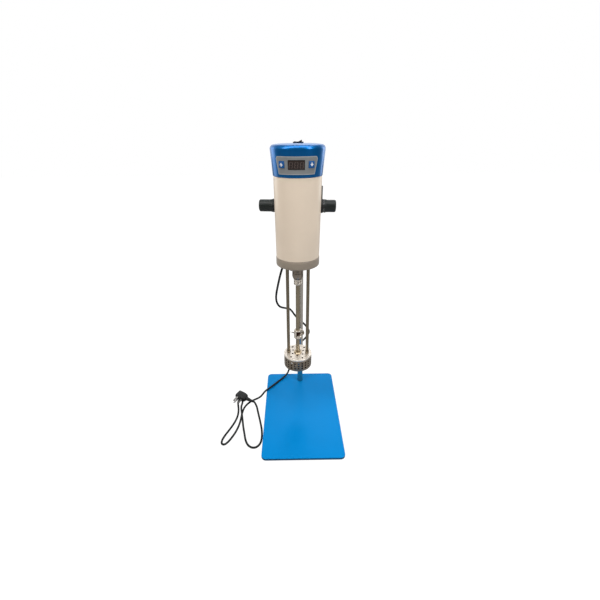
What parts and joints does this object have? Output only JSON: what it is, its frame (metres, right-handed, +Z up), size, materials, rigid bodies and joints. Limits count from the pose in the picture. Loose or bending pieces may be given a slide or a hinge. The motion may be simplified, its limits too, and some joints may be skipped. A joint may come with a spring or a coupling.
{
  "type": "laboratory homogenizer",
  "caption": "Laboratory homogenizer: a motor head with a rotor-stator tool on rods, clamped to a column on a flat base plate, with a digital control cap and a mains lead.",
  "frame": {"origin": "middle of the base plate, on the plane that the feet stand on", "axes": "+Z up, -Y towards the user, X across the base plate"},
  "size_m": [0.3156, 0.3091, 0.7012],
  "materials": {
    "plate_paint": "glossy bright blue paint",
    "cap_paint": "glossy blue paint",
    "housing_paint": "semi-gloss cream paint",
    "collar_paint": "satin warm grey",
    "polished_steel": "polished stainless steel",
    "pin_steel": "plated",
    "plain_steel": "plain steel",
    "winding": "enamelled copper wire",
    "bronze": "plain bearing bronze",
    "bracket_paint": "satin black",
    "black_plastic": "satin black plastic",
    "switch_plastic": "glossy black plastic",
    "membrane": "grey panel sheet with a light border",
    "button_plastic": "blue with a white arrow",
    "window": "dark clear plastic over unlit digits",
    "board": "green laminate",
    "rubber": "black rubber"
  },
  "bodies": {
    "stand": {"base_plate": "plate_paint", "foot_1": "rubber", "foot_2": "rubber", "foot_3": "rubber", "foot_4": "rubber", "column": "polished_steel", "column_bolt": "plain_steel", "column_cap": "black_plastic", "cord_floor": "rubber", "plug": "black_plastic", "plug_pin_1": "pin_steel", "plug_pin_2": "pin_steel", "plug_pin_3": "pin_steel"},
    "stop": {"stop_ring": "plain_steel"},
    "stop_thumb_screw": {"stop_screw": "black_plastic"},
    "head": {"bracket": "bracket_paint", "clamp_screw_lower": "plain_steel", "clamp_screw_upper": "plain_steel", "motor_housing": "housing_paint", "motor_core": "plain_steel", "coil_upper": "winding", "coil_lower": "winding", "end_bell": "plain_steel", "bearing_upper": "plain_steel", "bearing_lower": "plain_steel", "end_collar": "collar_paint", "collar_screw_1": "plain_steel", "collar_screw_2": "plain_steel", "collar_screw_3": "plain_steel", "rod_left": "polished_steel", "rod_right": "polished_steel", "rod_nut_left": "plain_steel", "rod_nut_right": "plain_steel", "bearing_nose": "plain_steel", "stator_plate": "polished_steel", "stator_ring": "polished_steel", "bush": "bronze", "control_cap": "cap_paint", "panel": "membrane", "display_window": "window", "display_module": "black_plastic", "control_board": "board", "switch_frame": "switch_plastic", "cord_gland": "black_plastic", "cord_drop": "rubber"},
    "spindle": {"motor_shaft": "polished_steel", "armature": "plain_steel", "fan": "black_plastic", "coupling": "polished_steel", "drive_shaft": "polished_steel", "propeller": "polished_steel", "rotor": "polished_steel", "rotor_screw": "plain_steel"},
    "power_rocker": {"rocker": "switch_plastic"},
    "speed_up": {"button_up": "button_plastic"},
    "speed_down": {"button_down": "button_plastic"},
    "left_knob": {"knob_left": "black_plastic", "stud_left": "plain_steel"},
    "right_knob": {"knob_right": "black_plastic", "stud_right": "plain_steel"}
  },
  "joints": [
    {"name": "head_lift", "type": "slide", "parent": "stand", "child": "stop", "axis": [0, 0, 1], "range_m": [0, 0.07]},
    {"name": "head_swivel", "type": "hinge", "parent": "stop", "child": "head", "pos_m": [0, 0.1244, 0.5583], "axis": [0, 0, 1], "range_deg": [-45, 45]},
    {"name": "stop_screw_turn", "type": "hinge", "parent": "stop", "child": "stop_thumb_screw", "pos_m": [0, 0.1399, 0.552], "axis": [0, 1, 0], "range_deg": [-720, 0]},
    {"name": "spindle_spin", "type": "hinge", "parent": "head", "child": "spindle", "pos_m": [-0.00905, 0.03044, 0.4473], "axis": [0, 0, 1], "continuous": true},
    {"name": "rocker_tilt", "type": "hinge", "parent": "head", "child": "power_rocker", "pos_m": [-0.00713, 0.05034, 0.6975], "axis": [0.0958, 0.9954, 0], "range_deg": [0, 22]},
    {"name": "button_up_press", "type": "slide", "parent": "head", "child": "speed_up", "axis": [0.5807, 0.8141, 0], "range_m": [0, 0.0006], "stiffness_N_per_m": 900},
    {"name": "button_down_press", "type": "slide", "parent": "head", "child": "speed_down", "axis": [-0.4617, 0.887, 0], "range_m": [0, 0.0006], "stiffness_N_per_m": 900},
    {"name": "left_knob_turn", "type": "hinge", "parent": "head", "child": "left_knob", "pos_m": [-0.06173, 0.06967, 0.5703], "axis": [-0.9954, 0.0958, 0], "range_deg": [0, 720]},
    {"name": "right_knob_turn", "type": "hinge", "parent": "head", "child": "right_knob", "pos_m": [0.05015, 0.05889, 0.5703], "axis": [0.9954, -0.0958, 0], "range_deg": [0, 720]}
  ]
}
